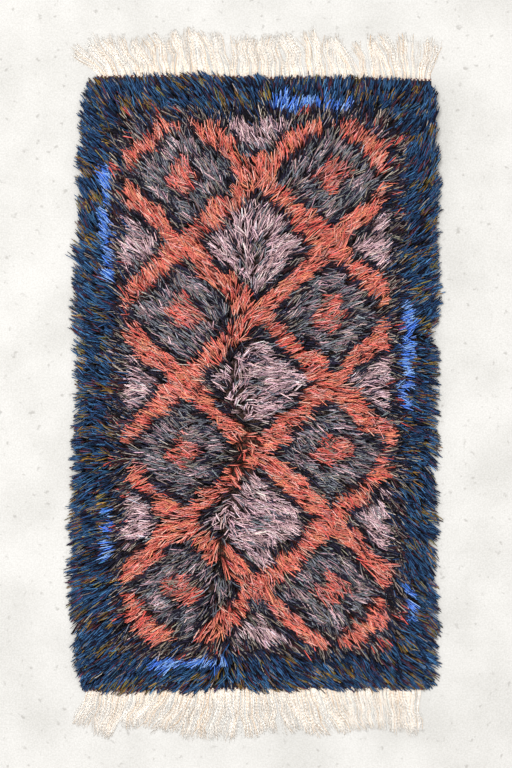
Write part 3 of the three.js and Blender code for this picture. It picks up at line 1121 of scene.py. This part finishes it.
    def routes(self, rng: np.random.Generator) -> tuple[Array, Array, Array]:
        """Lays every yarn.

        Args:
            rng: The random source.

        Returns:
            The routes, the places where the yarns show, and the knots that they belong to.
        """
        knots = self.brushed(rng)
        knot = np.repeat(np.arange(len(knots.place)), self.yarns_a_knot)
        root, tip = self.ends(knots, knot, rng)
        plan = self.plan(root, tip, knot, rng)
        level = self.levels(plan, root, knots, knot, rng)
        shows = root + (tip - root) * self.shown_share
        return np.concatenate([plan, level[..., None]], axis=-1), shows, knot

    def build(self, material: bpy.types.Material) -> list[bpy.types.Object]:
        """Builds the pile: the yarns of each group of like zones, in as many pieces as they need.

        Args:
            material: The pile's finish.

        Returns:
            The pieces.
        """
        rng = np.random.default_rng(self.seed)
        routes, shows, knot = self.routes(rng)
        yarns = len(routes)
        knots = knot.max() + 1
        patch = 0.5 + 0.5 * ripple(shows[:, 0], shows[:, 1], 0.045, 71)
        picks = rng.random(knots)[knot], rng.random(yarns)
        zone, colours = self.design.dye(shows[:, 0], shows[:, 1], *picks, patch)
        yarn_tone, knot_tone = self.tone_spread
        tone = self.brightness + rng.normal(0.0, yarn_tone, (yarns, 1))
        tone = tone + knot_tone * rng.normal(0.0, 1.0, (knots, 1))[knot]
        colours = colours * np.exp(tone) * np.exp(rng.normal(0.0, self.hue_spread, (yarns, 3)))
        colours = np.minimum(colours / np.maximum(colours.max(-1, keepdims=True), 1.0) ** 0.7, 1.0)
        starts = rng.random(yarns)
        radii = self.yarn_radius * rng.uniform(0.8, 1.15, (yarns, 1)) * np.array(self.taper)

        groups = {
            "border": [Zone.BORDER, Zone.ACCENT],
            "coral": [Zone.CORAL, Zone.ROSE],
            "mauve": [Zone.MAUVE, Zone.SLATE],
            "dark": [Zone.OUTLINE, Zone.SHADE],
        }
        pieces = []
        for name, zones in groups.items():
            mine = np.flatnonzero(np.isin(zone, [ZONES.index(z) for z in zones]))
            parts = math.ceil(len(mine) / self.most_in_piece)
            for k, chosen in enumerate(np.array_split(mine, parts)):
                bundle = YarnBundle(
                    f"pile_{name}_{k + 1}", routes[chosen], radii[chosen], colours[chosen], starts[chosen]
                )
                pieces.append(dress(bundle.build(), material, "pile_wool", "pile"))
        return pieces


@dataclass
class Fringe:
    """The warp ends at one end of the rug: clusters of thin yarns that lie wavy on the floor.

    At even steps across the rug, the leans say how far the tips lie to the right of their roots, and
    the gains by how much the yarns are longer than the mean.
    """

    name: str
    outline: ClothOutline
    side: int
    length: float
    unevenness: float
    gather: float
    seed: int
    leans: tuple[float, ...]
    gains: tuple[float, ...]
    sway: float = 0.007
    clusters: int = 78
    yarns_a_cluster: int = 20
    locks: int = 46
    rings: int = 6
    inset: float = 0.004
    root_offset: float = 0.0028
    root_height: float = 0.0026
    yarn_radius: float = 0.00043
    scatter: float = 0.003
    lock_wave: tuple[float, float] = (0.0016, 0.0058)
    yarn_wave: tuple[float, float] = (0.0004, 0.0018)
    yarn_waves: tuple[float, float] = (0.8, 1.6)
    cream: Colour = (1.0, 0.985, 0.965)
    straw: Colour = (0.94, 0.82, 0.68)

    def routes(self, rng: np.random.Generator) -> Array:
        """Lays the warp ends.

        Each starts over the heading and runs out over the floor. Its tip leans and is drawn to the
        middle of its lock, and its length is uneven by its place, its lock and itself. On the way it
        waves with its lock and, a little, by itself, each as a sine that grows from the root.

        Args:
            rng: The random source.

        Returns:
            The routes.
        """
        yarns, locks = self.clusters * self.yarns_a_cluster, self.locks + 1
        cluster = np.repeat(np.arange(self.clusters), self.yarns_a_cluster)
        astray = rng.uniform(-0.5, 0.5, self.clusters)[cluster] * self.gather
        share = (cluster + 0.5 + astray) / self.clusters
        end_y = self.outline.end(np.zeros(1), self.side)
        left, right = self.outline.left(end_y) + self.inset, self.outline.right(end_y) - self.inset
        cluster_half = 0.0042 - 0.0018 * self.gather
        x = left + (right - left) * share + rng.uniform(-1.0, 1.0, yarns) * cluster_half
        root_y = self.outline.end(x, self.side) + self.side * self.root_offset
        lean = spaced(self.leans, share) + self.sway * ripple(x, 0 * x, 0.12, self.seed)

        lock_edges = np.sort(rng.uniform(left[0], right[0], self.locks))
        lock = np.searchsorted(lock_edges, x + rng.normal(0.0, self.scatter, yarns))
        count = np.maximum(np.bincount(lock, minlength=locks), 1)
        aside = x - (np.bincount(lock, x, locks) / count)[lock]
        outer = np.abs(2.0 * share - 1.0) ** 4
        pull = self.gather * (rng.uniform(0.2, 1.0, locks)[lock] + 0.3 * outer)
        drift = rng.normal(0.0, 0.004 + 0.006 * self.gather, locks)[lock]
        tip_x = x + lean + drift - pull * aside + rng.normal(0.0, self.scatter, yarns)
        uneven = 0.5 * np.sin(TURN * x / 0.19 + self.seed) + 0.6 * rng.uniform(-1.0, 0.8, locks)[lock]
        uneven = uneven + 1.1 * rng.uniform(-1.0, 0.4, yarns) - 0.25 * np.abs(aside) / 0.01
        length = self.length + spaced(self.gains, share) + self.unevenness * uneven
        length = np.sqrt(length**2 - lean**2)

        t = np.append(np.linspace(0.0, 0.95, self.rings), 1.0)[None, :]
        lock_phase, yarn_phase = rng.random(locks)[lock][:, None], rng.random((yarns, 1))
        lock_wave = rng.uniform(*self.lock_wave, locks)[lock][:, None]
        yarn_wave = rng.uniform(*self.yarn_wave, (yarns, 1))
        yarn_waves = rng.uniform(*self.yarn_waves, (yarns, 1))
        wave = lock_wave * np.sin(TURN * (1.4 * t + lock_phase)) * ease(0.05, 0.7, t)
        wave = wave + yarn_wave * np.sin(TURN * (yarn_waves * t + yarn_phase)) * ease(0.0, 0.3, t)
        px = x[:, None] + (tip_x - x)[:, None] * t**1.3 + wave
        py = root_y[:, None] + self.side * length[:, None] * t
        lift = rng.uniform(0.0, 0.0007, (yarns, 1)) * np.sin(math.pi * t) ** 2
        pz = self.yarn_radius + self.root_height * (1.0 - ease(0.0, 0.2, t)) + lift + 0 * px
        return np.stack([px, py, pz], axis=-1)

    def build(self, material: bpy.types.Material) -> bpy.types.Object:
        """Builds the fringe, its yarns between cream and straw and thicker at their roots.

        Args:
            material: The fringe's finish.

        Returns:
            The piece.
        """
        rng = np.random.default_rng(self.seed)
        routes = self.routes(rng)
        yarns = len(routes)
        share = rng.random((yarns, 1)) ** 3
        colours = np.array(linear(self.cream)) * (1 - share) + np.array(linear(self.straw)) * share
        colours = np.clip(colours * rng.uniform(0.93, 1.05, (yarns, 1)), 0, 1)
        taper = np.array([1.7, 1.25] + [1.0] * (self.rings - 3) + [0.85])
        radii = self.yarn_radius * rng.uniform(0.8, 1.2, (yarns, 1)) * taper
        bundle = YarnBundle(f"warp_{self.name}", routes, radii, colours, rng.random(yarns))
        return dress(bundle.build(), material, "warp_yarn", f"fringe_{self.name}")


@dataclass(frozen=True)
class WovenWool:
    """The finish of the ground: dark weft over pale warp, with the backs of the knots in rows."""

    design: LozengeDesign
    row_pitch: float = 0.0125
    knot_pitch: float = 0.0085
    weft_pitch: float = 0.0021
    warp_pitch: float = 0.0084
    weft_colour: Colour = (0.36, 0.21, 0.19)
    warp_colour: Colour = (0.72, 0.66, 0.56)
    relief: float = 0.0008

    def material(self) -> bpy.types.Material:
        """Builds the material: knot rows where a wave along the rug is high, plain weft between them.

        The knots' backs follow the lozenges as the pile does, with the same distance from 0 at a
        lozenge's middle to 1 at its outline, here without its waver.

        Returns:
            The material.
        """
        shader = Shader("woven_wool")
        x, y, z = shader.place()
        across, along = x * (1 / self.design.half_width), y * (1 / self.design.half_height)
        a, b = (across + along) * 0.5, (across - along) * 0.5
        mottle = shader.noise(140.0, 3.0)
        distance = (a - a.nearest()).size().larger((b - b.nearest()).size()) * 2.0
        distance = distance + (mottle - 0.5) * 0.12
        knots = linear(Dye.SLATE.value)
        for low, high, dye in ((0.36, 0.40, Dye.MAUVE), (0.68, 0.72, Dye.CHARCOAL), (0.79, 0.82, Dye.CORAL)):
            knots = shader.mix(distance.step(low, high), knots, linear(dye.value))
        outside = (x.size() - self.design.field_half_width).larger(y.size() - self.design.field_half_length)
        knots = shader.mix(outside.step(-0.004, 0.004), knots, linear(Dye.NAVY.value))
        row = (y * (TURN / self.row_pitch)).wave()
        stitch = (x * (TURN / self.knot_pitch) + mottle * 2.0).wave()
        weft = ((y * (TURN / self.weft_pitch)).sine() * (x * (TURN / self.warp_pitch)).sine()) * 0.5 + 0.5
        plain = shader.mix(weft.step(0.55, 0.95), linear(self.weft_colour), linear(self.warp_colour))
        in_row = row.step(0.55, 0.7) * stitch.step(0.12, 0.3)
        # Random mottle, and painted shade: the cloth's upper side, in the shadow of the pile, darkened by
        # three quarters.
        shade = (0.72 + 0.5 * mottle) * (1.0 - 0.75 * z.step(0.0015, 0.0025))
        colour = shader.shaded(shader.mix(in_row, plain, knots), shade)
        height = in_row * 0.6 + weft * 0.25 + mottle * 0.15
        return shader.finish(colour, 0.92 - 0.08 * mottle, height, self.relief, 0.15)


@dataclass
class Ground:
    """The woven ground: one closed sheet, ribbed on its underside by the rows of knots."""

    outline: ClothOutline
    across: int = 24
    rows: int = 96
    steps_a_row: int = 3
    thickness: float = 0.003
    rib: float = 0.0006

    def build(self, material: bpy.types.Material) -> bpy.types.Object:
        """Builds the sheet: an upper and a lower grid over the outline, joined round the rim.

        The lower grid is raised between the ribs by the rib's depth times a squared sine along the
        rug, and not at all on its rim.

        Args:
            material: The ground's finish.

        Returns:
            The piece.
        """
        along_steps = self.rows * self.steps_a_row
        s, t = np.meshgrid(np.linspace(0, 1, self.across + 1), np.linspace(0, 1, along_steps + 1))
        x, y = self.outline.plan(s.ravel(), t.ravel())
        inner = ((s > 0) & (s < 1) & (t > 0) & (t < 1)).ravel()
        rib = self.rib * np.sin(math.pi * self.rows * t.ravel()) ** 2 * inner
        upper = np.stack([x, y, np.full_like(x, self.thickness)], -1)
        lower = np.stack([x, y, rib], -1)
        width = self.across + 1
        counter = np.arange(len(x)).reshape(along_steps + 1, width)
        a, b, c, d = counter[:-1, :-1], counter[:-1, 1:], counter[1:, 1:], counter[1:, :-1]
        top = np.stack([a, b, c, d], -1).reshape(-1, 4)
        under = np.stack([a, d, c, b], -1).reshape(-1, 4) + len(x)
        rim = np.concatenate([counter[0, :-1], counter[:-1, -1], counter[-1, :0:-1], counter[:0:-1, 0]])
        ahead = np.roll(rim, -1)
        wall = np.stack([rim + len(x), ahead + len(x), ahead, rim], -1)
        loops = np.concatenate([top, under, wall])
        points = np.concatenate([upper, lower])
        piece = add_piece("ground_cloth", points, loops.ravel(), np.arange(len(loops)) * 4)
        return dress(piece, material, "ground_wool", "ground_weave")

    def declare(self) -> None:
        """Works out the ground's width at 200 places along its length, and does nothing more with it.
        """
        middle = np.zeros(1)
        y = np.linspace(self.outline.end(middle, -1)[0], self.outline.end(middle, 1)[0], 200)
        widths = self.outline.right(y) - self.outline.left(y)


@dataclass(frozen=True)
class TwinedEdge:
    """The finish of the narrow heading: maroon weft with pale warp dots showing between its turns."""

    # The weft's maroon in the painted shade of its grooves and in the painted light on its crests.
    dark: Colour = (0.26, 0.12, 0.13)
    light: Colour = (0.47, 0.27, 0.25)
    warp: Colour = (0.95, 0.91, 0.84)
    turn_pitch: float = 0.0031
    turn_slant: float = 900.0
    relief: float = 0.0006

    def material(self) -> bpy.types.Material:
        """Builds the material: a dot where a wave across the rug is high, in the inner half of the strip.

        Returns:
            The material.
        """
        shader = Shader("twined_edge")
        x, y, z = shader.place()
        mottle = shader.noise(300.0, 3.0)
        turns = (x * (TURN / self.turn_pitch) + y * self.turn_slant).wave()
        # Painted light and shade over the relief: the weft is lighter on its turns' raised crests and darker
        # in the grooves.
        weft = shader.mix(turns, linear(self.dark), linear(self.light))
        outward = shader.node("ShaderNodeAttribute", {"attribute_name": STRIP_SHARE}, output="Fac")
        dots = (x * (TURN / WARP_PITCH)).wave().step(0.62, 0.8) * (1.0 - outward.step(0.35, 0.6))
        colour = shader.shaded(shader.mix(dots, weft, linear(self.warp)), 0.8 + 0.35 * mottle)
        return shader.finish(colour, 0.9 - 0.08 * mottle, turns * 0.6 + z * 40.0, self.relief, 0.1)


@dataclass
class Heading:
    """The narrow woven strip at one end, past the last weft, that holds the warp ends."""

    name: str
    outline: ClothOutline
    side: int
    width: float = 0.0045
    gap: float = 0.0003
    thickness: float = 0.003
    bump: float = 0.0008
    steps: int = 400
    ring: int = 8
    roundness: float = 0.6

    def build(self, material: bpy.types.Material) -> bpy.types.Object:
        """Builds the strip: a flattened ring carried along the cloth's end.

        The ring is a superellipse, its width and height to the power of 0.6 of cosine and sine, and
        its top is raised and let down by a cosine along the strip. An attribute holds how far out from
        the cloth each point is, from 0 to 1.

        Args:
            material: The strip's finish.

        Returns:
            The piece.
        """
        end_y = self.outline.end(np.zeros(1), self.side)
        x = np.linspace(self.outline.left(end_y)[0], self.outline.right(end_y)[0], self.steps + 1)
        turn = TURN * np.arange(self.ring) / self.ring
        corners = np.stack([np.cos(turn), np.sin(turn)])
        round_y, round_z = np.sign(corners) * np.abs(corners) ** self.roundness
        middle = self.outline.end(x, self.side) + self.side * (self.gap + self.width / 2)
        y = middle[:, None] + self.width / 2 * round_y[None]
        high = self.thickness - self.bump * (0.5 + 0.5 * np.cos(TURN * x / WARP_PITCH))[:, None]
        z = np.where(round_z > 0, high, self.thickness) * (0.5 + 0.5 * round_z)
        points = np.stack([np.broadcast_to(x[:, None], y.shape), y, z], -1).reshape(-1, 3)
        k, first = np.arange(self.ring), np.arange(self.steps)[:, None] * self.ring
        after = (k + 1) % self.ring
        quads = np.stack([first + after, first + self.ring + after, first + self.ring + k, first + k], -1)
        caps = np.concatenate([k, self.steps * self.ring + k[::-1]])
        quad_count = self.steps * self.ring
        starts = np.append(np.arange(quad_count) * 4, quad_count * 4 + np.array([0, self.ring]))
        name = f"heading_{self.name}"
        piece = add_piece(name, points, np.concatenate([quads.ravel(), caps]), starts)
        outward = np.tile(0.5 + 0.5 * self.side * round_y, self.steps + 1)
        share = piece.data.attributes.new(STRIP_SHARE, "FLOAT", "POINT")
        share.data.foreach_set("value", outward.astype(np.float32))
        return dress(piece, material, "warp_yarn", f"fringe_{self.name}")


@dataclass
class Studio:
    """The plain pale floor, the soft light and the camera straight above the rug."""

    camera_height: float = 3.0
    floor_size: float = 60.0
    floor_level: float = -0.0004
    floor_dark: Colour = (0.685, 0.68, 0.665)
    floor_light: Colour = (0.79, 0.785, 0.775)
    floor_speck: Colour = (0.60, 0.59, 0.575)
    surround: Colour = (1.0, 0.985, 0.965)
    surround_strength: float = 0.86

    def floor(self) -> None:
        """A pale, faintly mottled floor."""
        signs = np.array([[-1.0, -1.0], [1.0, -1.0], [1.0, 1.0], [-1.0, 1.0]])
        corners = np.column_stack([signs * self.floor_size / 2, np.full(4, self.floor_level)])
        piece = add_piece("floor", corners, np.arange(4), np.array([0]))
        shader = Shader("pale_floor")
        cloud, grain, speck = shader.noise(7.0, 6.0), shader.noise(330.0, 2.0), shader.noise(62.0, 3.0)
        share = cloud.step(0.25, 0.7) * 0.5 + grain.step(0.25, 0.75) * 0.5
        colour = shader.mix(share, linear(self.floor_dark), linear(self.floor_light))
        colour = shader.mix(speck.step(0.62, 0.74) * 0.7, colour, linear(self.floor_speck))
        piece.data.materials.append(shader.finish(colour, 0.85, speck, 0.0004))

    def light(self) -> None:
        """A soft key lamp at the picture's upper left, a wide one overhead, and an even pale surround."""
        for name, place, size, watts in (
            ("key", (-1.1, 1.0, 4.4), 1.4, 155.0),
            ("top", (0.4, -0.7, 4.0), 3.5, 62.0),
        ):
            lamp = bpy.data.lights.new(name, "AREA")
            lamp.energy, lamp.size = watts, size
            holder = bpy.data.objects.new(name, lamp)
            holder.location = place
            aim = -np.array(place)
            holder.rotation_euler = (
                math.acos(-aim[2] / np.linalg.norm(aim)), 0.0, math.atan2(aim[1], aim[0]) - math.pi / 2
            )
            bpy.context.scene.collection.objects.link(holder)
        world = bpy.data.worlds.new("surround")
        world.use_nodes = True
        background = world.node_tree.nodes["Background"].inputs
        background["Color"].default_value = (*self.surround, 1.0)
        background["Strength"].default_value = self.surround_strength
        bpy.context.scene.world = world

    def camera(self) -> None:
        """A camera that looks straight down, at the photograph's scale on the floor."""
        data = bpy.data.cameras.new("camera")
        data.lens = data.sensor_width * self.camera_height / (PHOTO_HEIGHT * PHOTO_PIXEL)
        holder = bpy.data.objects.new("camera", data)
        holder.location = (*PHOTO_MIDDLE, self.camera_height)
        bpy.context.scene.collection.objects.link(holder)
        bpy.context.scene.camera = holder

    def build(self) -> None:
        """Sets the stage, with colours shown as they are."""
        self.camera()
        self.floor()
        self.light()
        bpy.context.scene.view_settings.view_transform = "Standard"


def main() -> None:
    """Builds the studio and the rug, piece by piece."""
    logging.basicConfig(level=logging.INFO, format="%(message)s")
    Studio().build()
    outline = ClothOutline.of(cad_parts["ground_weave"])
    design = LozengeDesign()
    ground = Ground(outline)
    cloth = ground.build(WovenWool(design).material())
    wool = SpunYarn(
        "pile_wool", turns=8.0, plies=2, painted_ply_shade=0.26, painted_root_shade=0.08, depth=0.95, painted_flank_shade=0.14, sheen=0.02
    )
    cotton = SpunYarn(
        "warp_cotton", turns=16.0, plies=2, painted_ply_shade=0.08, painted_root_shade=1.0, depth=0.5, painted_flank_shade=0.9, sheen=0.0
    )
    others = Pile(outline, design).build(wool.material())
    edge, warp = TwinedEdge().material(), cotton.material()
    for fringe in (
        Fringe(
            "far_end", outline, side=1, length=0.087, unevenness=0.014, gather=0.62, seed=11,
            leans=(-0.052, -0.042, -0.030, -0.018, -0.010, -0.008, 0.006, -0.008, -0.028, -0.032, 0.024),
            gains=(-0.006, 0.0, 0.0, 0.0, 0.0, 0.0, 0.0, 0.0, 0.0, 0.0, -0.006),
        ),
        Fringe(
            "near_end", outline, side=-1, length=0.095, unevenness=0.012, gather=0.24, seed=23,
            leans=(-0.020, -0.024, -0.040, -0.040, -0.012, 0.016, 0.026, 0.028, 0.026, 0.020, 0.008),
            gains=(-0.020, -0.007, 0.0, 0.0, 0.0, 0.0, 0.0, 0.0, -0.002, -0.006, -0.014),
        ),
    ):
        others.append(Heading(fringe.name, outline, fringe.side).build(edge))
        others.append(fringe.build(warp))
    ground.declare()


if __name__ == "__main__":
    main()
